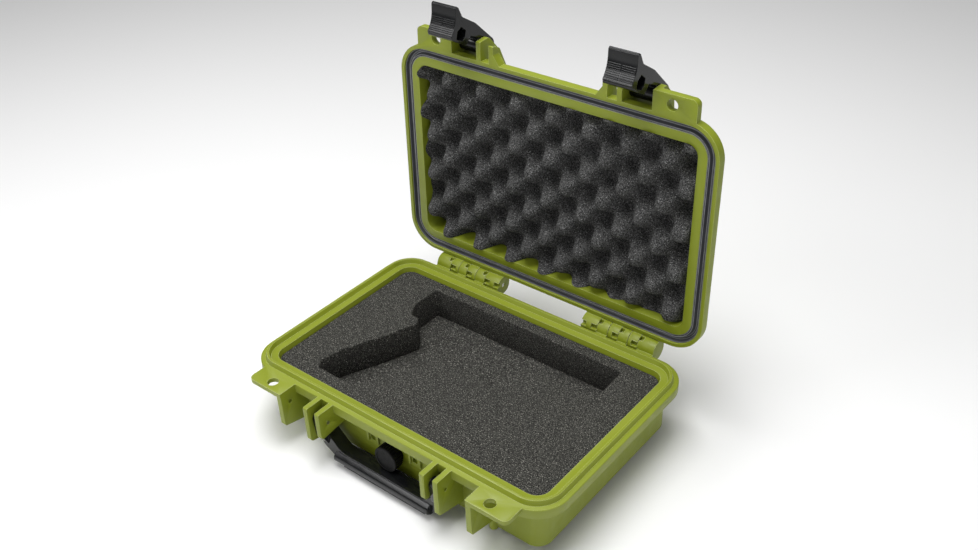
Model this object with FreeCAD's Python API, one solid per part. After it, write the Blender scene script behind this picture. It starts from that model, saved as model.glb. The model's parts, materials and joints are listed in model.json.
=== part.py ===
"""Waterproof clamshell pistol case, modelled open, in millimetres.

Frame: origin at the centre of the base's flat underside, +X to the right, -Y to the
front (latch side), +Z up. The lid is drawn shut and then swung open about the hinge
axis; each latch is drawn closed and then swung up about its own pin.
"""
import FreeCAD, Part
import math
import os

V = FreeCAD.Vector

# ---- driving dimensions (mm, degrees) ---------------------------------------
CASE_W, CASE_D = 310.0, 201.5        # outline of both rims
BASE_H, LID_H = 50.0, 31.0           # base and lid, each measured from the parting plane
RIM_R, BASE_RIM_T, LID_RIM_T = 28.0, 8.2, 9.0
BASE_INSET, BASE_R = 12.0, 13.0      # base body set in from the rim
LID_INSET, LID_R = 15.4, 13.0
BASE_MOUTH, BASE_MOUTH_R = 15.2, 12.0
LID_MOUTH, LID_MOUTH_R = 18.6, 9.5
FLOOR_T = 3.2
RIDGE_H = 4.2                        # sealing ridge on the base rim
GROOVE = (3.3, 10.9)                 # lid seal groove, as insets from the rim edge
GROOVE_DEPTH = 6.6
INNER_RING_DROP = 1.7                # lid rim inside the seal sits this far back
HINGE_Y, HINGE_R, HINGE_PIN_R = 110.5, 8.7, 2.0
KNUCKLES = (45.3, 61.5, 72.5, 82.6, 92.3, 101.7, 118.0)
RUN_GAP = 0.05                       # radial clearance of a turning pin
SIDE_GAP = 0.3                       # half the gap between neighbouring knuckles
WINDOW_DEPTH = 5.0                   # a barrel's window stops this far from the hinge axis
OPEN_ANGLE = 91.0
LATCH_RAISE = 42.0
LATCH_X, LATCH_W = 83.2, 25.0
LATCH_PIN = (-107.5, 17.0)           # y, height above the parting plane
HANDLE_PIN = (-108.0, -13.0)
PIN_R = 1.6
INNER_RIB, OUTER_RIB = (52.6, 57.0), (65.6, 70.0)
LUG_X, LUG_WALL_T, LUG_FRONT = (96.3, 133.6), 4.7, -117.5
LUG_HOLE, LUG_HOLE_R = (113.0, -109.2), 4.75
BASE_LUG_T, LID_LUG_T = 4.0, 6.0
VALVE_Z = -29.5                      # valve axis below the parting plane
PAD_TOP, FOAM_TOP = 17.0, 46.0
FOAM_GAP = 1.2
BUMP_X, BUMP_ROW, BUMP_TILT = 35.8, 19.2, 3.0
BUMP_START = (0.5, 9.0)
BUMP_H, BUMP_R, BUMP_TIP_R = 15.0, 12.4, 4.2

FRONT = -CASE_D / 2
BASE_WALL = FRONT + BASE_INSET
LID_WALL = FRONT + LID_INSET
SIDES = (-1, 1)


# ---- helpers ------------------------------------------------------------------
def rounded_loop(points, radii):
    """Closed wire through points, each corner rounded by its own radius."""
    n = len(points)
    corners = []
    for i, p in enumerate(points):
        a = (points[i - 1] - p).normalize()
        b = (points[(i + 1) % n] - p).normalize()
        r = radii[i] if isinstance(radii, (list, tuple)) else radii
        if r <= 0:
            corners.append((p, None, p))
            continue
        half = a.getAngle(b) / 2
        reach = r / math.tan(half)
        middle = p + (a + b).normalize() * (r / math.sin(half) - r)
        corners.append((p + a * reach, middle, p + b * reach))
    edges = []
    for i, (start, middle, end) in enumerate(corners):
        if middle is not None:
            edges.append(Part.Arc(start, middle, end).toShape())
        following = corners[(i + 1) % n][0]
        if (following - end).Length > 1e-6:
            edges.append(Part.makeLine(end, following))
    return Part.Wire(edges)


def rect_loop(width, depth, r, z, cx=0.0, cy=0.0):
    w, d = width / 2, depth / 2
    points = [V(cx - w, cy - d, z), V(cx + w, cy - d, z), V(cx + w, cy + d, z), V(cx - w, cy + d, z)]
    return rounded_loop(points, r)


def rim_loop(inset, z, r):
    return rect_loop(CASE_W - 2 * inset, CASE_D - 2 * inset, r, z)


def block(inset, r, z0, z1):
    return Part.Face(rim_loop(inset, z0, r)).extrude(V(0, 0, z1 - z0))


def box(x0, x1, y0, y1, z0, z1):
    return Part.makeBox(x1 - x0, y1 - y0, z1 - z0, V(x0, y0, z0))


def rod(r, start, direction, length):
    return Part.makeCylinder(r, length, start, direction)


def plate_x(points, radii, x0, x1, z=0.0):
    """Plate whose outline lies in Y-Z, running from x0 to x1."""
    loop = rounded_loop([V(x0, y, z + h) for y, h in points], radii)
    return Part.Face(loop).extrude(V(x1 - x0, 0, 0))


def taper_ring(outer, inner, z0, z1):
    """Ring whose insets change from outer[0] to outer[1] and inner[0] to inner[1]."""
    def skin(insets):
        loops = [rim_loop(i, z, RIM_R - i) for i, z in zip(insets, (z0, z1))]
        return Part.makeLoft(loops, True, True)
    return skin(outer).cut(skin(inner))


def fuse(shapes):
    first, rest = shapes[0], shapes[1:]
    return first.fuse(rest).removeSplitter() if rest else first


def cut(shape, tools):
    return shape.cut(tools)


def round_edges(shape, r, keep):
    edges = [e for e in shape.Edges if keep(e)]
    return shape.makeFillet(r, edges)


def at_height(z):
    return lambda e: all(abs(v.Z - z) < 1e-4 for v in e.Vertexes) and abs(e.BoundBox.ZLength) < 1e-4


def span(side, pair):
    """The x range pair, on the left (side -1) or on the right (side +1)."""
    a, b = side * pair[0], side * pair[1]
    return (min(a, b), max(a, b))


def swing(shape, y, z, degrees):
    moved = shape.copy()
    moved.rotate(V(0, y, z), V(1, 0, 0), degrees)
    return moved


def lift_lid(shape):
    return swing(shape, HINGE_Y, BASE_H, -OPEN_ANGLE)


# ---- shared features ----------------------------------------------------------
def lug(side, wall_y, low, high):
    """Flat padlock tab between heights low and high, without its hole."""
    x0, x1 = span(side, LUG_X)
    outer, inner = (5.0, 0.5)
    radii = [outer, inner, 0, 0] if side < 0 else [inner, outer, 0, 0]
    points = [V(x0, LUG_FRONT, low), V(x1, LUG_FRONT, low), V(x1, wall_y, low), V(x0, wall_y, low)]
    return Part.Face(rounded_loop(points, radii)).extrude(V(0, 0, high - low))


def lug_wall_x(side):
    return span(side, (LUG_X[0], LUG_X[0] + LUG_WALL_T))


def knuckle(pair, side, part_sign):
    """One hinge barrel with its web to the rim: part_sign -1 base, +1 lid."""
    x0, x1 = span(side, pair)
    x0, x1 = x0 + SIDE_GAP, x1 - SIDE_GAP
    barrel = rod(HINGE_R, V(x0, HINGE_Y, BASE_H), V(1, 0, 0), x1 - x0)
    depth = BASE_RIM_T if part_sign < 0 else LID_RIM_T
    low, high = sorted((0.0, part_sign * depth))
    web = box(x0, x1, -FRONT - 2.0, HINGE_Y, BASE_H + low, BASE_H + high)
    return barrel.fuse(web)


def hinge_pairs(lid):
    pairs = list(zip(KNUCKLES, KNUCKLES[1:]))
    return pairs[0::2] if lid else pairs[1::2]


def barrel_windows(lid):
    """Moulding windows in one half's barrels, each facing the other half's rim when the case is open."""
    near, far = -HINGE_R - 1.0, -WINDOW_DEPTH
    tools = []
    for side in SIDES:
        for index, (inner, outer) in enumerate(hinge_pairs(lid)):
            spans = [(outer - 6.0, outer + 0.5)] if lid else [(inner - 0.5, inner + 3.8)]
            if lid and index == 0:
                spans.append((inner - 0.5, inner + 5.2))
            for pair in spans:
                x0, x1 = span(side, pair)
                low, high = (near, far) if lid else (-far, -near)
                tools.append(box(x0, x1, HINGE_Y - 5.2, HINGE_Y - 1.0, BASE_H + low, BASE_H + high))
    return tools


def hinge_pin(side):
    x0, x1 = span(side, (KNUCKLES[0] + 0.8, KNUCKLES[-1] - 4.0))
    return rod(HINGE_PIN_R, V(x0, HINGE_Y, BASE_H), V(1, 0, 0), x1 - x0)


def bore_x(r, yz, x0, x1, z0=BASE_H):
    return rod(r, V(x0, yz[0], z0 + yz[1]), V(1, 0, 0), x1 - x0)


# ---- base ---------------------------------------------------------------------
def base_shell():
    top = BASE_H
    body = block(BASE_INSET, BASE_R, 0, top - 1)
    body = round_edges(body, 3.0, at_height(0))
    rim = block(0, RIM_R, top - BASE_RIM_T, top)
    rim = round_edges(rim, 0.8, at_height(top))
    ridge = taper_ring((4.0, 5.5), (9.0, 7.5), top - 0.5, top + RIDGE_H)
    solids = [body, rim, ridge]
    for side in SIDES:
        solids.append(lug(side, FRONT + 3, top - BASE_LUG_T, top))
        deep = [(BASE_WALL + 2, 0), (-117, 0), (-117, -33.5), (BASE_WALL + 2, -40.5)]
        radii = [0, 1.2, 3.0, 0]
        for x0, x1 in (lug_wall_x(side), span(side, OUTER_RIB)):
            solids.append(plate_x(deep, radii, x0, x1, top))
        short = [(BASE_WALL + 2, 0), (-117, 0), (-117, -26.0), (BASE_WALL + 2, -22.0)]
        solids.append(plate_x(short, radii, *span(side, INNER_RIB), z=top))
        foot = rod(3.4, V(side * 98.6, BASE_WALL - 0.2, 0), V(0, 0, 1), 12)
        solids.append(foot)
        post_x = side * 22.3
        solids.append(box(post_x - 6, post_x + 6, BASE_WALL - 1.6, BASE_WALL + 1, top - 30.5, top - 17.5))
        solids.append(box(post_x - 4.6, post_x - 2.6, BASE_WALL - 3.4, BASE_WALL + 1, top - 28.5, top - 17.5))
        for pair in hinge_pairs(lid=False):
            solids.append(knuckle(pair, side, -1))
    shell = fuse(solids)

    tools = [block(BASE_MOUTH, BASE_MOUTH_R, FLOOR_T, top + 8)]
    for side in SIDES:
        hole = V(side * LUG_HOLE[0], LUG_HOLE[1], top - BASE_LUG_T - 1)
        tools.append(rod(LUG_HOLE_R, hole, V(0, 0, 1), BASE_LUG_T + 2))
        tools.append(bore_x(PIN_R, HANDLE_PIN, *span(side, (INNER_RIB[0] - 1, OUTER_RIB[1] + 1))))
        tools.append(bore_x(PIN_R + 0.3, HANDLE_PIN, *span(side, (LUG_X[0] - 1, LUG_X[0] + 6))))
        tools.append(bore_x(HINGE_PIN_R, (HINGE_Y, 0), *span(side, (KNUCKLES[0] - 1, KNUCKLES[-1] - 4.0))))
        slot_x = side * 22.3 + 0.9
        tools.append(box(slot_x - 2.3, slot_x + 2.3, BASE_WALL - 4, BASE_WALL + 0.6, top - 27.5, top - 19.0))
    tools += barrel_windows(lid=False)
    tools.append(rod(6.0, V(0, BASE_WALL - 1, top + VALVE_Z), V(0, 1, 0), 8))
    return cut(shell, tools)


def pistol_pocket(z0, z1):
    """Cut-out for a full-size pistol on its side: slide, guard and raked grip."""
    outline = [
        (-94.5, 73.0), (105.5, 73.0), (107.0, 33.5), (38.0, 32.0), (33.5, -1.5), (-20.0, -1.5),
        (-31.0, -9.0), (-37.5, -36.0), (-51.0, -48.0), (-53.5, -62.0), (-62.0, -70.0), (-101.0, -70.0),
        (-106.0, -62.0), (-102.0, -42.0), (-86.0, -7.0), (-74.5, 24.0), (-79.0, 31.0), (-88.0, 31.5),
        (-95.0, 45.0)]
    radii = [3, 4, 3, 5, 4, 5, 6, 5, 4, 4, 4, 4, 5, 8, 10, 3, 3, 4, 4]
    loop = rounded_loop([V(x, y, z0) for x, y in outline], radii)
    return Part.Face(loop).extrude(V(0, 0, z1 - z0))


def valve_notch():
    """Pocket in the foam's front face that clears the valve's washer and nut."""
    inner, axis_z = FRONT + BASE_MOUTH, BASE_H + VALVE_Z
    return box(-11.5, 11.5, inner - 1, inner + 8.5, axis_z - 11.5, axis_z + 11.5)


def foam_layer(z0, z1):
    inset = BASE_MOUTH + FOAM_GAP
    return cut(block(inset, BASE_MOUTH_R - FOAM_GAP, z0, z1), [valve_notch()])


def base_foam():
    foam = foam_layer(PAD_TOP + 0.1, FOAM_TOP)
    return cut(foam, [pistol_pocket(PAD_TOP - 1, FOAM_TOP + 1)])


def base_foam_pad():
    return foam_layer(FLOOR_T + 0.1, PAD_TOP)


# ---- lid (drawn shut, then lifted) ----------------------------------------------
def lid_shell():
    low = BASE_H
    body = block(LID_INSET, LID_R, low + 1, low + LID_H)
    body = round_edges(body, 4.0, at_height(low + LID_H))
    rim = block(0, RIM_R, low, low + LID_RIM_T)
    rim = round_edges(rim, 1.6, at_height(low + LID_RIM_T))
    panel = rect_loop(CASE_W - 2 * LID_INSET - 30, CASE_D - 2 * LID_INSET - 30, 10.0, low + LID_H - 1)
    solids = [body, rim, Part.Face(panel).extrude(V(0, 0, 2.2))]
    bracket = [(LID_WALL + 2, 0), (-117, 0), (-118, 12), (-105, 24), (LID_WALL + 2, 27)]
    radii = [0, 1.0, 4.0, 5.0, 0]
    brace = [(LID_WALL + 2, 0), (-116.6, 0), (-113.0, 9), (-96.5, 17), (LID_WALL + 2, 17)]
    for side in SIDES:
        solids.append(lug(side, FRONT + 3, low, low + LID_LUG_T))
        for x0, x1 in (lug_wall_x(side), span(side, OUTER_RIB)):
            solids.append(plate_x(bracket, radii, x0, x1, low))
        solids.append(plate_x(brace, [0, 1.0, 3.0, 3.0, 0], *span(side, INNER_RIB), z=low))
        web = [(LID_WALL + 2, 8), (-98.6, 8), (-98.6, 20), (LID_WALL + 2, 27)]
        solids.append(plate_x(web, 0, *span(side, (OUTER_RIB[1] - 1, LUG_X[0] + 1)), z=low))
        gusset = [V(side * 56.0, FRONT + 1, low), V(side * 46.0, FRONT + 1, low), V(side * 56.0, -114, low)]
        solids.append(Part.Face(rounded_loop(gusset, 0)).extrude(V(0, 0, LID_RIM_T - 1)))
        for pair in hinge_pairs(lid=True):
            solids.append(knuckle(pair, side, +1))
    shell = fuse(solids)

    groove = block(GROOVE[0], RIM_R - GROOVE[0], low - 1, low + GROOVE_DEPTH)
    groove = groove.cut(block(GROOVE[1], RIM_R - GROOVE[1], low - 2, low + GROOVE_DEPTH + 1))
    tools = [groove, block(GROOVE[1] - 0.5, RIM_R - GROOVE[1], low - 1, low + INNER_RING_DROP),
             block(LID_MOUTH, LID_MOUTH_R, low - 1, low + LID_H - FLOOR_T)]
    for side in SIDES:
        hole = V(side * LUG_HOLE[0], LUG_HOLE[1], low - 1)
        tools.append(rod(LUG_HOLE_R, hole, V(0, 0, 1), LID_LUG_T + 2))
        tools.append(bore_x(PIN_R, LATCH_PIN, *span(side, (OUTER_RIB[0] + 0.8, LUG_X[0] + 3.7))))
        reach = span(side, (KNUCKLES[0] - 1, KNUCKLES[-1] + 1))
        tools.append(bore_x(HINGE_PIN_R + RUN_GAP, (HINGE_Y, 0), *reach))
    tools += barrel_windows(lid=True)
    return lift_lid(cut(shell, tools))


def lid_gasket():
    """Rubber seal with a trough that takes the base's ridge."""
    low, floor = BASE_H + 1.5, BASE_H + GROOVE_DEPTH
    a, b = GROOVE[0] + 0.05, GROOVE[1] - 0.05
    ring = taper_ring((a, a), (b, b), low, floor)
    trough = taper_ring((4.35, 5.3), (8.65, 7.7), low - 0.01, BASE_H + RIDGE_H + 0.25)
    return lift_lid(ring.cut(trough))


def bump():
    """One peak of the convoluted foam, pointing down from z = 0."""
    return Part.makeCone(BUMP_R, BUMP_TIP_R, BUMP_H + 1, V(0, 0, 1), V(0, 0, -1))


def bump_centres():
    tilt = math.radians(BUMP_TILT)
    centres = []
    for row in range(-6, 7):
        shift = BUMP_X / 2 if row % 2 else 0.0
        for column in range(-6, 7):
            x, y = column * BUMP_X + shift + BUMP_START[0], row * BUMP_ROW + BUMP_START[1]
            turned = (x * math.cos(tilt) - y * math.sin(tilt), x * math.sin(tilt) + y * math.cos(tilt))
            if abs(turned[0]) < CASE_W / 2 and abs(turned[1]) < CASE_D / 2:
                centres.append(turned)
    return centres


def lid_foam():
    """Egg-crate foam: a slab against the lid with staggered peaks."""
    inset, r = LID_MOUTH + 0.4, LID_MOUTH_R - 0.4
    back = BASE_H + LID_H - FLOOR_T - 0.1
    root = BASE_H + BUMP_H - 2.6
    slab = block(inset, r, root, back)
    peak = bump()
    peaks = []
    for x, y in bump_centres():
        moved = peak.copy()
        moved.translate(V(x, y, root))
        peaks.append(moved)
    trimmed = Part.makeCompound(peaks).common(block(inset + 0.5, r - 0.5, root - 30, root + 0.5))
    return lift_lid(slab.fuse(trimmed.Solids))


# ---- hinges, latches, handle, valve ----------------------------------------------
def latch(side):
    """Lever latch about its pin, drawn closed: y outwards is negative, z up."""
    py, pz = LATCH_PIN
    x0 = side * LATCH_X - LATCH_W / 2
    x1 = x0 + LATCH_W
    outline = [(-7.8, 0), (-7.8, -28), (-4.2, -46.5), (-7.9, -56.2), (-5.8, -58.4), (4.4, -49.8),
               (14.2, -48.6), (16.4, -46.2), (11.9, -27.2), (3.2, -27.2), (-0.9, -14.5), (0.0, 0.0)]
    radii = [0, 14, 5, 1.4, 1.0, 24, 1.0, 1.2, 1.0, 2.0, 4.0, 0]
    arm = plate_x([(py + y, pz + h) for y, h in outline], radii, x0, x1, BASE_H)
    eye = bore_x(7.8, LATCH_PIN, x0, x1)
    window = [(2.8, -43.0), (2.3, -35.4), (7.4, -33.0), (11.0, -34.2), (13.4, -41.5), (8.0, -44.6)]
    opening = plate_x([(py + y, pz + h) for y, h in window], 1.0, x0 - 1, x1 + 1, BASE_H)
    body = cut(arm.fuse(eye), [opening, bore_x(PIN_R + RUN_GAP, LATCH_PIN, x0 - 1, x1 + 1)])
    raised = swing(body.removeSplitter(), py, BASE_H + pz, -LATCH_RAISE)
    return lift_lid(raised)


def latch_pin(side):
    x0, x1 = span(side, (OUTER_RIB[0] + 0.8, LUG_X[0] + 3.7))
    return lift_lid(bore_x(PIN_R, LATCH_PIN, x0, x1))


def handle():
    """Broad moulded carrying handle, hanging in front of the base."""
    top = BASE_H
    back, front = -94.0, -107.5
    outer = [(-65, -22), (-65, -42), (-54, -48.5), (-43, -53), (43, -53), (54, -48.5), (65, -42), (65, -22)]
    inner = [(57.6, -22), (57.6, -29), (44, -42), (-44, -42), (-57.6, -29), (-57.6, -22)]
    radii = [0, 9, 6, 0, 0, 6, 9, 0, 0, 3, 14, 14, 3, 0]
    loop = rounded_loop([V(x, back, top + h) for x, h in outer + inner], radii)
    frame = Part.Face(loop).extrude(V(0, front + 1.5 - back, 0))
    grip = [(back, -41.5), (-104.0, -41.5), (-109.6, -46.5), (-109.6, -51.0), (-105.5, -54.0), (back, -54.0)]
    parts = [frame, plate_x(grip, [3.0, 5.5, 3.0, 2.5, 2.0, 2.0], -50, 50, top)]
    for z0, z1, y0 in ((-54.6, -52.5, -106.8), (-57.6, -56.0, -105.8)):
        parts.append(box(-43.5, 43.5, y0, back + 4, top + z0, top + z1))
    parts.append(box(-43.5, 43.5, -104.6, back + 2, top - 56.2, top - 54.4))
    arm = [(-113.0, -13.0), (-111.5, -30.0), (front + 1.5, -40.0), (back, -40.0), (back, -26.0), (-103.0, -13.0)]
    for side in SIDES:
        parts.append(plate_x(arm, [0, 8, 3, 0, 6, 0], *span(side, (57.6, 65.0)), z=top))
        parts.append(bore_x(5.0, HANDLE_PIN, *span(side, (57.6, 65.0))))
    bores = [bore_x(PIN_R + RUN_GAP, HANDLE_PIN, *span(side, (56, 67))) for side in SIDES]
    return cut(fuse(parts), bores)


def handle_pin(side):
    return bore_x(PIN_R, HANDLE_PIN, *span(side, (INNER_RIB[0] - 0.3, OUTER_RIB[1] - 2.5)))


def ring_y(outer_r, inner_r, y0, length):
    centre = V(0, y0, BASE_H + VALVE_Z)
    return rod(outer_r, centre, V(0, 1, 0), length).cut(rod(inner_r, centre, V(0, 1, 0), length))


def hexagon(across, y0, length):
    r = across / math.sqrt(3)
    points = [V(r * math.cos(k * math.pi / 3), y0, BASE_H + VALVE_Z + r * math.sin(k * math.pi / 3))
              for k in range(6)]
    return Part.Face(rounded_loop(points, 0.6)).extrude(V(0, length, 0))


def valve_bushing():
    flange = ring_y(9.0, 3.6, BASE_WALL - 1.2, 1.2)
    tube = ring_y(6.0, 3.6, BASE_WALL, 10.2)
    return flange.fuse(tube).removeSplitter()


def valve_washer():
    return ring_y(8.6, 6.0, FRONT + BASE_MOUTH, 1.0)


def valve_nut():
    y0 = FRONT + BASE_MOUTH + 1.0
    return hexagon(17.0, y0, 4.4).cut(rod(6.0, V(0, y0 - 1, BASE_H + VALVE_Z), V(0, 1, 0), 8))


def valve_seal():
    return ring_y(6.6, 3.7, BASE_WALL - 2.6, 1.35)


def valve_knob():
    """Knurled vent knob with a dished face and a stem that runs in the bushing."""
    rear, face = BASE_WALL - 2.8, FRONT + 0.4
    centre = V(0, rear, BASE_H + VALVE_Z)
    head = round_edges(rod(11.2, centre, V(0, -1, 0), rear - face), 0.8,
                       lambda e: abs(e.BoundBox.YMax - face) < 1e-4 and e.BoundBox.YLength < 1e-4)
    flutes = []
    for k in range(30):
        a = 2 * math.pi * k / 30
        start = V(11.4 * math.cos(a), rear + 1, BASE_H + VALVE_Z + 11.4 * math.sin(a))
        flutes.append(rod(0.85, start, V(0, -1, 0), rear - face - 0.4))
    dish = rod(9.0, V(0, face - 1, BASE_H + VALVE_Z), V(0, 1, 0), 1.5)
    stem = rod(3.55, V(0, rear - 1, BASE_H + VALVE_Z), V(0, 1, 0), 12.0)
    return head.cut(flutes + [dish]).fuse(stem).removeSplitter()


def main():
    nodes = {
        "base_shell": base_shell(), "base_foam": base_foam(), "base_foam_pad": base_foam_pad(),
        "lid_shell": lid_shell(), "lid_gasket": lid_gasket(), "lid_foam": lid_foam(),
        "handle": handle(), "valve_bushing": valve_bushing(), "valve_washer": valve_washer(),
        "valve_nut": valve_nut(), "valve_seal": valve_seal(), "valve_knob": valve_knob(),
    }
    for side, name in ((-1, "left"), (1, "right")):
        nodes["hinge_pin_" + name] = hinge_pin(side)
        nodes["latch_" + name] = latch(side)
        nodes["latch_pin_" + name] = latch_pin(side)
        nodes["handle_pin_" + name] = handle_pin(side)
    os.makedirs("parts", exist_ok=True)
    for node, shape in nodes.items():
        solids = shape.Solids
        assert len(solids) == 1 and shape.isValid(), (node, len(solids), shape.isValid())
        solids[0].exportStep("parts/%s.step" % node)
        print(node, "volume %.1f cm3" % (shape.Volume / 1000))


main()
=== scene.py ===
"""Looks of an open waterproof pistol case: moulded green shells, black levers and handle, charcoal foam."""

import json
import math

import bmesh
import bpy
from mathutils import Matrix, Vector, noise


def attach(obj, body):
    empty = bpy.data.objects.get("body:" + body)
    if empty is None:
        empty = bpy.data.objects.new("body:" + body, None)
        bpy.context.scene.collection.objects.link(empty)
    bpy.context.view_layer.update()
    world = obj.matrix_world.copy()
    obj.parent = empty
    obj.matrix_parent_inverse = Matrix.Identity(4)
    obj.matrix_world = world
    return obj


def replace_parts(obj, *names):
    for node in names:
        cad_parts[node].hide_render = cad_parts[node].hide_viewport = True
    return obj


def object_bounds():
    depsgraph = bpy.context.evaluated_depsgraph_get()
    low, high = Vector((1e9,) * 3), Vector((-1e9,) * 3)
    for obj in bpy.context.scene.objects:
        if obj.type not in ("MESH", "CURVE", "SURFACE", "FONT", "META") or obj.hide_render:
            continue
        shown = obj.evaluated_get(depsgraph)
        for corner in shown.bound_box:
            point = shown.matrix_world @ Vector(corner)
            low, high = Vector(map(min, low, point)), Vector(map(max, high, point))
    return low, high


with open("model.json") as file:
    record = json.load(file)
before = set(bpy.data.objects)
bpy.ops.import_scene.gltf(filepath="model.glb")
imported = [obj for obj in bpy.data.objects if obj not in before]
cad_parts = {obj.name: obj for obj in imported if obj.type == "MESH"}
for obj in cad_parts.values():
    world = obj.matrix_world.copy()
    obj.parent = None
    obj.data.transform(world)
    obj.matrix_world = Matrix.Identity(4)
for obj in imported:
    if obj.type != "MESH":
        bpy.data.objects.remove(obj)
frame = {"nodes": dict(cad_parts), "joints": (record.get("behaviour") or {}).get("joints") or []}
cad_low, cad_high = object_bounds()
MM = 0.001
nodes = frame["nodes"]
joints = {j["name"]: j for j in frame["joints"]}

# ---- driving values, in metres and radians unless a comment says otherwise --------
HINGE = Vector(joints["lid_hinge"]["pos_m"])
OPEN_ANGLE = math.radians(joints["lid_hinge"]["range_deg"][1])
PARTING_Z = HINGE.z                                   # height of the plane where the shut halves meet
CASE_W, CASE_D, RIM_R = 0.310, 0.2015, 0.028          # outline of both rims
SHELL_EDGE = 0.5 * MM                                 # rounding of the moulded shells' edges
WELD_GAP = 1e-6                                       # vertices closer than this are one
FLAT_ANGLE = math.radians(0.6)                        # facets that turn less than this are one face
CREASE_ANGLE = math.radians(28)                       # a CAD node's edges sharper than this stay edges
CUT_ANGLE, PIECE_CREASE = math.radians(40), math.radians(50)   # the same for the foam cutter and for new pieces

LID_FOAM_W, LID_FOAM_D, LID_FOAM_R = 0.2718, 0.1633, 0.009
LID_FOAM_BACK = PARTING_Z + 27.6 * MM
LID_FOAM_ACROSS, LID_FOAM_ALONG = 212, 128            # cells of the foam's face
PEAK_Z, VALLEY_Z = PARTING_Z - 2.6 * MM, PARTING_Z + 21.5 * MM
PEAK_COLUMN, PEAK_ROW, PEAK_TILT = 17.9 * MM, 19.2 * MM, math.radians(3.0)
PEAK_START = (0.5 * MM, 9.0 * MM)
PEAK_SHARPNESS = 0.45                                 # how far a peak departs from a plain wave
PEAK_TRIM = 1.6 * MM                                  # taken off the height, to leave room for unevenness
FOAM_CUT_ROUNDING, FOAM_PAD_ROUNDING = 1.1 * MM, 0.5 * MM

GASKET_CORNER_STEPS = 14
LATCH_RAISE = math.radians(42.0)                      # from snapped to the rest pose
LATCH_HOLLOW, LATCH_HOLLOW_R = (14.4, -72.7), 23.9    # mm from the pin: the hollow face's arc, on the snapped latch
LATCH_RIBS, RIB_START, RIB_STEP = 8, 94.5, 3.7        # number, first angle and spacing, in degrees
RIB_R, RIB_NEAR, RIB_FAR = 0.5, 0.5, 11.9             # mm, each rib's radius and its two ends along X
LATCH_LIPS = ((14.2, -47.9, 0.95), (-6.5, -57.1, 1.15))   # y, z and radius in mm, from the pin
LIP_HALF_LENGTH = 12.3                                # mm
BAR_SIDES = 10                                        # facets round each rib and lip


def turn_about(point, angle):
    """Turns by angle about the line through point that runs along X."""
    return Matrix.Translation(point) @ Matrix.Rotation(angle, 4, "X") @ Matrix.Translation(-point)


LIFT = turn_about(HINGE, -OPEN_ANGLE)                 # the shut lid's pieces to the open lid's


# ---- materials --------------------------------------------------------------------
class Recipe:
    """A material's node tree, built one named node at a time."""

    def __init__(self, name, colour):
        self.material = bpy.data.materials.new(name)
        self.material.use_nodes = True
        self.material.diffuse_color = (*colour, 1)
        self.tree = self.material.node_tree
        self.shader = self.tree.nodes["Principled BSDF"]
        self.place = self.add("ShaderNodeTexCoord").outputs["Object"]

    def add(self, kind, settings=None, **inputs):
        node = self.tree.nodes.new(kind)
        for name, value in (settings or {}).items():
            setattr(node, name, value)
        for name, value in inputs.items():
            self.put(node, name, value)
        return node

    def put(self, node, name, value):
        socket = node.inputs[int(name[1:]) if name[0] == "i" and name[1:].isdigit() else name.replace("_", " ")]
        if isinstance(value, bpy.types.NodeSocket):
            self.tree.links.new(value, socket)
        else:
            socket.default_value = value

    def shade(self, **inputs):
        for name, value in inputs.items():
            self.put(self.shader, name, value)

    def noise(self, scale, detail=3.0, roughness=0.5):
        return self.add("ShaderNodeTexNoise", Vector=self.place, Scale=scale, Detail=detail,
                        Roughness=roughness).outputs["Fac"]

    def cells(self, scale):
        return self.add("ShaderNodeTexVoronoi", Vector=self.place, Scale=scale).outputs["Distance"]

    def edge_highlight_share(self, radius, most):
        """0 on flats, rising to most where the surface turns sharply within radius metres: the share of a painted
        edge highlight.
        """
        plain = self.add("ShaderNodeNewGeometry").outputs["Normal"]
        match = self.add("ShaderNodeVectorMath", {"operation": "DOT_PRODUCT"}, i0=self.rounded(radius),
                         i1=plain).outputs["Value"]
        return self.span(match, 0.985, 0.85, 0.0, most)

    def upper_edge_highlights(self, radius, most):
        """The edge mask, strongest where the edge faces up towards the overhead lamp: a painted highlight."""
        normal = self.add("ShaderNodeNewGeometry").outputs["Normal"]
        height = self.add("ShaderNodeSeparateXYZ", i0=normal).outputs["Z"]
        upward_light_share = self.span(height, -0.1, 0.75, 0.25, 1.0)
        return self.add("ShaderNodeMath", {"operation": "MULTIPLY"}, i0=self.edge_highlight_share(radius, most),
                        i1=upward_light_share).outputs[0]

    def span(self, value, low, high, new_low, new_high):
        """Maps value from low..high to new_low..new_high, clamped."""
        return self.add("ShaderNodeMapRange", i0=value, i1=low, i2=high, i3=new_low, i4=new_high).outputs[0]

    def blend(self, share, first, second):
        node = self.add("ShaderNodeMix", {"data_type": "RGBA"})
        self.put(node, "i0", share)
        self.put(node, "i6", first)
        self.put(node, "i7", second)
        return node.outputs[2]

    def rounded(self, radius):
        """The surface's normal with every edge eased to radius metres."""
        return self.add("ShaderNodeBevel", {"samples": 6}, Radius=radius).outputs["Normal"]

    def bumps(self, *layers, normal=None):
        """Stacks height maps, each (height, depth in metres), on the plain normal or on the one given."""
        for height, depth in layers:
            node = self.add("ShaderNodeBump", Height=height, Distance=depth, Strength=1.0)
            if normal is not None:
                self.put(node, "Normal", normal)
            normal = node.outputs["Normal"]
        self.shade(Normal=normal)


def rgba(r, g, b):
    return (r, g, b, 1.0)


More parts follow.
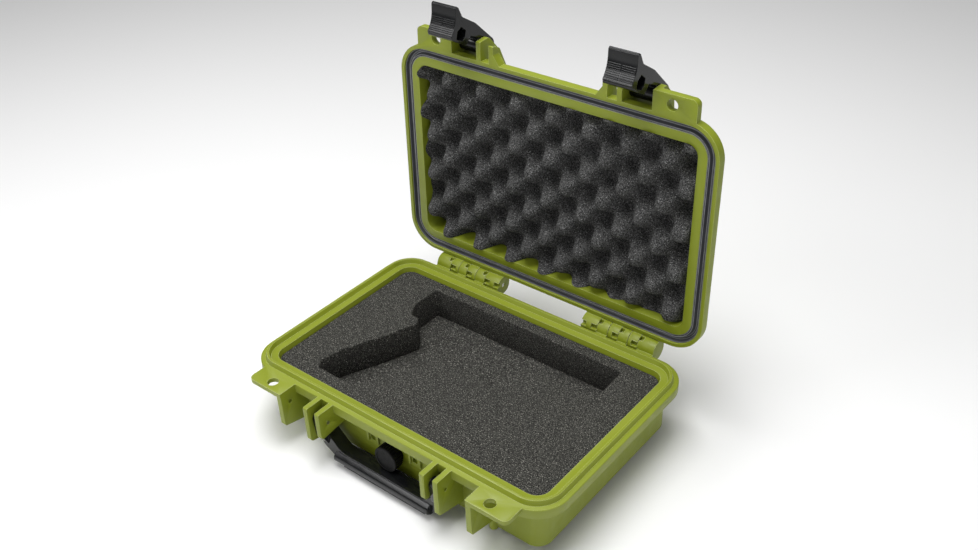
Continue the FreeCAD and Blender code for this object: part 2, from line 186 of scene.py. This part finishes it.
def green_plastic():
    """Moulded polypropylene with a fine spark-eroded grain, flow clouding and a painted highlight along its upper
    edges.
    """
    m = Recipe("green_plastic", (0.21, 0.25, 0.012))
    cloud = m.span(m.noise(14.0, 3.0), 0.3, 0.7, 0.0, 1.0)
    tone = m.blend(cloud, rgba(0.205, 0.248, 0.010), rgba(0.228, 0.270, 0.015))
    fleck = m.span(m.noise(1400.0, 2.0), 0.55, 0.75, 0.0, 0.10)
    grain = m.blend(fleck, tone, rgba(0.30, 0.34, 0.06))
    # Pale green painted highlight along the upward-facing edges.
    m.shade(Base_Color=m.blend(m.upper_edge_highlights(0.6 * MM, 0.85), grain, rgba(0.60, 0.64, 0.34)))
    m.shade(Roughness=m.span(m.noise(90.0, 4.0), 0.3, 0.7, 0.40, 0.54))
    m.bumps((m.noise(22.0, 2.0), 0.00012), (m.noise(1900.0, 3.0, 0.6), 0.00004))
    return m.material


def black_plastic():
    """Glossy black nylon with a faint grain, rubbed patches and a grey painted highlight along its upper edges."""
    m = Recipe("black_plastic", (0.015, 0.015, 0.015))
    rub = m.span(m.noise(70.0, 5.0, 0.65), 0.45, 0.75, 0.0, 1.0)
    tone = m.blend(rub, rgba(0.005, 0.0055, 0.006), rgba(0.009, 0.0095, 0.010))
    # Grey painted highlight along the upward-facing edges.
    m.shade(Base_Color=m.blend(m.upper_edge_highlights(0.3 * MM, 0.5), tone, rgba(0.10, 0.105, 0.11)))
    m.shade(Roughness=m.span(m.noise(160.0, 4.0), 0.3, 0.7, 0.11, 0.19), Specular_IOR_Level=0.38)
    m.bumps((m.noise(2200.0, 2.0), 0.000012), normal=m.rounded(0.7 * MM))
    return m.material


def foam(name, dark, light, glint):
    """Open-cell foam: pores painted dark as the shade inside them, a lighter web, and painted glints where a few cell
    walls would catch the light.
    """
    m = Recipe(name, light)
    # Pore centres painted dark, as painted shade.
    pore_shade = m.span(m.cells(820.0), 0.15, 0.75, 0.0, 1.0)
    web = m.blend(pore_shade, rgba(*dark), rgba(*light))
    # Painted glints: bright flecks standing in for light caught by cell walls.
    spark = m.span(m.noise(1150.0, 2.0), 0.60, 0.70, 0.0, 1.0)
    m.shade(Base_Color=m.blend(spark, web, rgba(*glint)))
    m.shade(Roughness=0.95, Specular_IOR_Level=0.15)
    m.bumps((m.noise(120.0, 3.0), 0.0006), (m.cells(820.0), 0.0007), (m.noise(2100.0, 2.0), 0.0003))
    return m.material


def rubber():
    """Dark grey sealing rubber, with a paler painted highlight along the edges of its lips."""
    m = Recipe("seal_rubber", (0.06, 0.062, 0.068))
    bloom = m.span(m.noise(50.0, 4.0), 0.35, 0.7, 0.0, 1.0)
    tone = m.blend(bloom, rgba(0.045, 0.046, 0.052), rgba(0.070, 0.072, 0.080))
    # Pale grey painted highlight along sharp edges.
    m.shade(Base_Color=m.blend(m.edge_highlight_share(0.35 * MM, 0.6), tone, rgba(0.22, 0.225, 0.24)))
    m.shade(Roughness=0.50)
    m.bumps((m.noise(700.0, 3.0), 0.00008),)
    return m.material


def highlight_line_rubber():
    """The seal's pale lines: a painted highlight, with a random dusty tone."""
    m = Recipe("highlight_line_rubber", (0.24, 0.245, 0.26))
    dust = m.span(m.noise(260.0, 4.0), 0.3, 0.7, 0.0, 1.0)
    m.shade(Base_Color=m.blend(dust, rgba(0.19, 0.195, 0.21), rgba(0.28, 0.285, 0.30)))
    m.shade(Roughness=m.span(m.noise(500.0, 3.0), 0.3, 0.7, 0.42, 0.6))
    m.bumps((m.noise(700.0, 3.0), 0.00006),)
    return m.material


def steel():
    """Turned steel pin with fine marks round it."""
    m = Recipe("pin_steel", (0.6, 0.6, 0.6))
    marks = m.span(m.noise(380.0, 4.0), 0.35, 0.7, 0.0, 1.0)
    m.shade(Base_Color=m.blend(marks, rgba(0.56, 0.56, 0.55), rgba(0.66, 0.66, 0.65)), Metallic=1.0)
    m.shade(Roughness=m.span(m.noise(900.0, 3.0), 0.3, 0.7, 0.22, 0.42))
    m.bumps((m.noise(1500.0, 2.0), 0.00002),)
    return m.material


def matte_black():
    """Dull black plastic of the vent knob and the valve's parts."""
    m = Recipe("matte_black", (0.012, 0.012, 0.012))
    dust = m.span(m.noise(240.0, 5.0), 0.45, 0.8, 0.0, 1.0)
    m.shade(Base_Color=m.blend(dust, rgba(0.004, 0.004, 0.004), rgba(0.010, 0.010, 0.0105)))
    m.shade(Roughness=m.span(m.noise(300.0, 3.0), 0.3, 0.7, 0.40, 0.55), Specular_IOR_Level=0.12)
    m.bumps((m.noise(1300.0, 2.0), 0.00004), normal=m.rounded(0.3 * MM))
    return m.material


MATERIALS = {
    "shell": green_plastic(), "black": black_plastic(), "steel": steel(), "knob": matte_black(),
    "rubber": rubber(), "highlight_lines": highlight_line_rubber(),
    # Each foam's colours: its pores' painted shade, its web, and its painted glint.
    "base_foam": foam("base_foam", (0.009, 0.009, 0.008), (0.060, 0.059, 0.053), (0.36, 0.35, 0.31)),
    "lid_foam": foam("lid_foam", (0.010, 0.010, 0.0105), (0.095, 0.095, 0.093), (0.36, 0.36, 0.36)),
}
NODE_MATERIAL = {
    "base_shell": "shell", "lid_shell": "shell", "handle": "black", "latch_left": "black", "latch_right": "black",
    "valve_knob": "knob", "valve_bushing": "knob", "valve_nut": "knob", "valve_washer": "rubber",
    "valve_seal": "rubber", "lid_gasket": "rubber", "base_foam": "base_foam", "base_foam_pad": "base_foam",
    "lid_foam": "lid_foam",
}


# ---- carried-over CAD nodes -------------------------------------------------------
def finish_node(name, edge):
    """Gives a CAD node its material and smooth shading, with its sharp edges rounded by edge metres or kept crisp."""
    node = nodes[name]
    node.data.materials.clear()
    node.data.materials.append(MATERIALS[NODE_MATERIAL.get(name, "steel")])
    weld = node.modifiers.new("weld", "WELD")
    weld.merge_threshold = WELD_GAP
    if edge:
        flat = node.modifiers.new("flat", "DECIMATE")
        flat.decimate_type = "DISSOLVE"
        flat.angle_limit = FLAT_ANGLE
        bevel = node.modifiers.new("edges", "BEVEL")
        bevel.width, bevel.segments = edge, 2
        bevel.limit_method, bevel.angle_limit = "ANGLE", CREASE_ANGLE
        bevel.harden_normals = True
    else:
        crisp = node.modifiers.new("crisp", "EDGE_SPLIT")
        crisp.split_angle = CREASE_ANGLE
    for polygon in node.data.polygons:
        polygon.use_smooth = True


for node_name in nodes:
    finish_node(node_name, SHELL_EDGE if node_name in ("base_shell", "lid_shell") else 0.0)


# ---- pieces of their own ----------------------------------------------------------
def make_piece(name, bm, material, body, place=None):
    """Turns bm, moved by place if one is given, into a piece that rides on body."""
    bmesh.ops.recalc_face_normals(bm, faces=bm.faces)
    mesh = bpy.data.meshes.new(name)
    bm.to_mesh(mesh)
    bm.free()
    if place is not None:
        mesh.transform(place)
    mesh.shade_smooth()
    mesh.set_sharp_from_angle(angle=PIECE_CREASE)
    mesh.materials.append(MATERIALS[material])
    piece = bpy.data.objects.new(name, mesh)
    bpy.context.scene.collection.objects.link(piece)
    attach(piece, body)
    return piece


def egg_crate_z(x, y):
    """Height of the convoluted foam's face on the shut lid, with a little unevenness."""
    u = x * math.cos(PEAK_TILT) + y * math.sin(PEAK_TILT) - PEAK_START[0]
    v = y * math.cos(PEAK_TILT) - x * math.sin(PEAK_TILT) - PEAK_START[1]
    wave = math.cos(math.pi * u / PEAK_COLUMN) * math.cos(math.pi * v / PEAK_ROW)
    lobe = wave * (1 + PEAK_SHARPNESS - PEAK_SHARPNESS * wave * wave)
    coarse = noise.noise(Vector((x, y, 0.3)) * 95.0) * 0.9 * MM
    fine = noise.noise(Vector((x, y, 0.7)) * 420.0) * 0.35 * MM
    return (PEAK_Z + VALLEY_Z) / 2 - lobe * (VALLEY_Z - PEAK_Z - PEAK_TRIM) / 2 + coarse + fine


def row_half_width(y):
    """Half the lid foam's width at y, narrowing round its corners."""
    past = abs(y) - (LID_FOAM_D / 2 - LID_FOAM_R)
    if past <= 0:
        return LID_FOAM_W / 2
    return LID_FOAM_W / 2 - LID_FOAM_R + math.sqrt(max(LID_FOAM_R ** 2 - past ** 2, 0.0))


def lid_foam():
    """Convoluted foam: a cut slab whose face rises in staggered rounded peaks."""
    bm = bmesh.new()
    face, back = [], []
    for j in range(LID_FOAM_ALONG + 1):
        y = LID_FOAM_D * (j / LID_FOAM_ALONG - 0.5)
        half = row_half_width(y)
        xs = [half * (2 * i / LID_FOAM_ACROSS - 1) for i in range(LID_FOAM_ACROSS + 1)]
        face.append([bm.verts.new((x, y, egg_crate_z(x, y))) for x in xs])
        back.append([bm.verts.new((x, y, LID_FOAM_BACK)) for x in (xs[0], xs[-1])])
    for lower, upper in zip(face, face[1:]):
        for i in range(LID_FOAM_ACROSS):
            bm.faces.new((lower[i], lower[i + 1], upper[i + 1], upper[i]))
    for j in range(LID_FOAM_ALONG):
        bm.faces.new((back[j][0], back[j][1], back[j + 1][1], back[j + 1][0]))
        bm.faces.new((face[j][0], face[j + 1][0], back[j + 1][0], back[j][0]))
        bm.faces.new((face[j][-1], face[j + 1][-1], back[j + 1][1], back[j][1]))
    for j in (0, LID_FOAM_ALONG):
        bm.faces.new([*face[j], back[j][1], back[j][0]])
    return make_piece("egg_crate_foam", bm, "lid_foam", "lid", LIFT)


def cut_foam(name, node, rounding):
    """A foam block in the shape of its CAD node, with the soft rounded edges that a foam cutter leaves."""
    bm = bmesh.new()
    bm.from_mesh(nodes[node].data)
    bmesh.ops.remove_doubles(bm, verts=bm.verts, dist=WELD_GAP)
    bmesh.ops.dissolve_limit(bm, angle_limit=FLAT_ANGLE, verts=bm.verts, edges=bm.edges)
    sharp = [e for e in bm.edges if len(e.link_faces) == 2 and e.calc_face_angle() > CUT_ANGLE]
    bmesh.ops.bevel(bm, geom=sharp, offset=rounding, segments=3, profile=0.5, affect="EDGES", clamp_overlap=False)
    return make_piece(name, bm, "base_foam", "base")


def rim_point(inset, z, corner, angle):
    """A point on the rim's outline moved inwards by inset, on one corner's arc."""
    cx = corner[0] * (CASE_W / 2 - RIM_R)
    cy = corner[1] * (CASE_D / 2 - RIM_R)
    r = RIM_R - inset
    return (cx + r * math.cos(angle), cy + r * math.sin(angle), z)


def gasket():
    """Moulded seal: an outer lip, the trough that takes the base's ridge, and a twin inner lip."""
    # The section, in mm: inwards from the rim's outline, and up from the parting plane.
    profile = [(3.36, 6.5), (3.36, 2.2), (3.45, 1.75), (3.75, 1.5), (4.1, 1.55), (4.35, 1.9), (4.45, 2.5),
               (4.75, 3.4), (5.1, 4.3), (5.35, 4.47), (6.1, 4.5), (6.3, 4.36), (6.5, 4.32), (6.7, 4.36),
               (6.9, 4.5), (7.6, 4.47), (7.9, 4.3), (8.25, 3.4), (8.55, 2.5), (8.65, 1.95), (8.85, 1.6),
               (9.1, 1.5), (9.35, 1.62), (9.5, 2.0), (9.55, 2.7), (9.75, 2.95), (9.95, 2.7), (10.0, 2.2),
               (10.15, 1.95), (10.4, 1.85), (10.7, 1.95), (10.84, 2.3), (10.84, 6.5)]
    highlight_lines = {2, 3, 9, 14, 20, 21, 28, 29}                # profile steps on the lip tips and the trough floor, painted pale as a highlight
    corners = [((1, 1), 0.0), ((-1, 1), math.pi / 2), ((-1, -1), math.pi), ((1, -1), 1.5 * math.pi)]
    bm = bmesh.new()
    rings = []
    for corner, start in corners:
        for step in range(GASKET_CORNER_STEPS + 1):
            angle = start + math.pi / 2 * step / GASKET_CORNER_STEPS
            rings.append([bm.verts.new(rim_point(i * MM, PARTING_Z + h * MM, corner, angle)) for i, h in profile])
    for ring, following in zip(rings, rings[1:] + rings[:1]):
        for k in range(len(profile)):
            after = (k + 1) % len(profile)
            bm.faces.new((ring[k], ring[after], following[after], following[k])).material_index = int(k in highlight_lines)
    piece = make_piece("lip_gasket", bm, "rubber", "lid", LIFT)
    piece.data.materials.append(MATERIALS["highlight_lines"])
    return piece


def rib(bm, x0, x1, centre, r):
    """A round-topped bar along X, with closed ends."""
    turns = [2 * math.pi * k / BAR_SIDES for k in range(BAR_SIDES)]
    loops = [[bm.verts.new((x, centre[0] + r * math.cos(a), centre[1] + r * math.sin(a))) for a in turns]
             for x in (x0, x1)]
    for k in range(BAR_SIDES):
        after = (k + 1) % BAR_SIDES
        bm.faces.new((loops[0][k], loops[0][after], loops[1][after], loops[1][k]))
    bm.faces.new(loops[0])
    bm.faces.new(loops[1])


def latch_grip(side):
    """Finger ribs across a latch's hollow face, split down the middle, and the rounded lips above and below."""
    joint = joints["latch_%s_pivot" % side]
    pin = LIFT.inverted() @ Vector(joint["pos_m"])
    bars = []
    for k in range(LATCH_RIBS):
        angle = math.radians(RIB_START + RIB_STEP * k)
        y = LATCH_HOLLOW[0] + LATCH_HOLLOW_R * math.cos(angle)
        z = LATCH_HOLLOW[1] + LATCH_HOLLOW_R * math.sin(angle)
        bars += [(-RIB_FAR, -RIB_NEAR, y, z, RIB_R), (RIB_NEAR, RIB_FAR, y, z, RIB_R)]
    bars += [(-LIP_HALF_LENGTH, LIP_HALF_LENGTH, *lip) for lip in LATCH_LIPS]
    bm = bmesh.new()
    for x0, x1, y, z, r in bars:
        rib(bm, pin.x + x0 * MM, pin.x + x1 * MM, (pin.y + y * MM, pin.z + z * MM), r * MM)
    return make_piece("latch_%s_ribs" % side, bm, "black", "latch_" + side,
                      LIFT @ turn_about(Vector((0, pin.y, pin.z)), -LATCH_RAISE))


for piece, node_name, fill in ((lid_foam(), "lid_foam", 0.9),
                               (cut_foam("cut_foam", "base_foam", FOAM_CUT_ROUNDING), "base_foam", 1.0),
                               (cut_foam("pad_foam", "base_foam_pad", FOAM_PAD_ROUNDING), "base_foam_pad", 1.0)):
    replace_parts(piece, node_name)
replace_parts(gasket(), "lid_gasket")
for side_name in ("left", "right"):
    latch_grip(side_name)


# ---- room, light and camera -------------------------------------------------------
def floor():
    """Pale paper, half a millimetre under the lowest point of the case."""
    bpy.ops.mesh.primitive_plane_add(size=8.0, location=(0, 0, cad_low.z - 0.5 * MM))
    plane = bpy.context.object
    plane.name = "floor"
    material = bpy.data.materials.new("floor_paper")
    material.use_nodes = True
    shader = material.node_tree.nodes["Principled BSDF"]
    shader.inputs["Base Color"].default_value = rgba(0.86, 0.86, 0.86)
    shader.inputs["Roughness"].default_value = 0.9
    plane.data.materials.append(material)


def softbox(name, place, target, size, power):
    """A rectangular lamp at place, aimed at target."""
    light = bpy.data.lights.new(name, "AREA")
    light.shape, light.size, light.size_y, light.energy = "RECTANGLE", size[0], size[1], power
    lamp = bpy.data.objects.new(name, light)
    lamp.location = place
    lamp.rotation_euler = (Vector(target) - Vector(place)).to_track_quat("-Z", "Y").to_euler()
    bpy.context.scene.collection.objects.link(lamp)


def studio():
    """Even white surroundings with one soft lamp above and two in front."""
    world = bpy.data.worlds.new("studio")
    world.use_nodes = True
    world.node_tree.nodes["Background"].inputs["Color"].default_value = rgba(1.0, 1.0, 1.0)
    world.node_tree.nodes["Background"].inputs["Strength"].default_value = 0.22
    bpy.context.scene.world = world
    softbox("overhead", (-0.05, -0.05, 1.40), (0.0, 0.02, 0.05), (1.1, 0.8), 22.0)
    softbox("key_left", (-0.78, -0.98, 1.02), (0.0, -0.08, 0.03), (0.75, 0.45), 6.0)
    softbox("right_fill", (1.3, -0.75, 0.65), (0.1, 0.0, 0.08), (0.7, 0.7), 2.5)
    bpy.context.scene.view_settings.view_transform = "Standard"


def camera():
    """The camera at the photo's angle, set by its place, turn, tilt and lean."""
    yaw, pitch, lean = (math.radians(a) for a in (39.69, 33.96, -2.215))
    forward = Vector((-math.sin(yaw) * math.cos(pitch), math.cos(yaw) * math.cos(pitch), -math.sin(pitch)))
    right = Vector((math.cos(yaw), math.sin(yaw), 0.0))
    up = right.cross(forward)
    side = right * math.cos(lean) + up * math.sin(lean)
    top = up * math.cos(lean) - right * math.sin(lean)
    data = bpy.data.cameras.new("camera")
    data.lens, data.sensor_width = 39.51, 36.0
    data.clip_start, data.clip_end = 0.02, 20.0
    cam = bpy.data.objects.new("camera", data)
    turn = Matrix((side, top, -forward)).transposed().to_4x4()
    cam.matrix_world = Matrix.Translation((0.46034, -0.51912, 0.60580)) @ turn
    bpy.context.scene.collection.objects.link(cam)
    bpy.context.scene.camera = cam


floor()
studio()
camera()
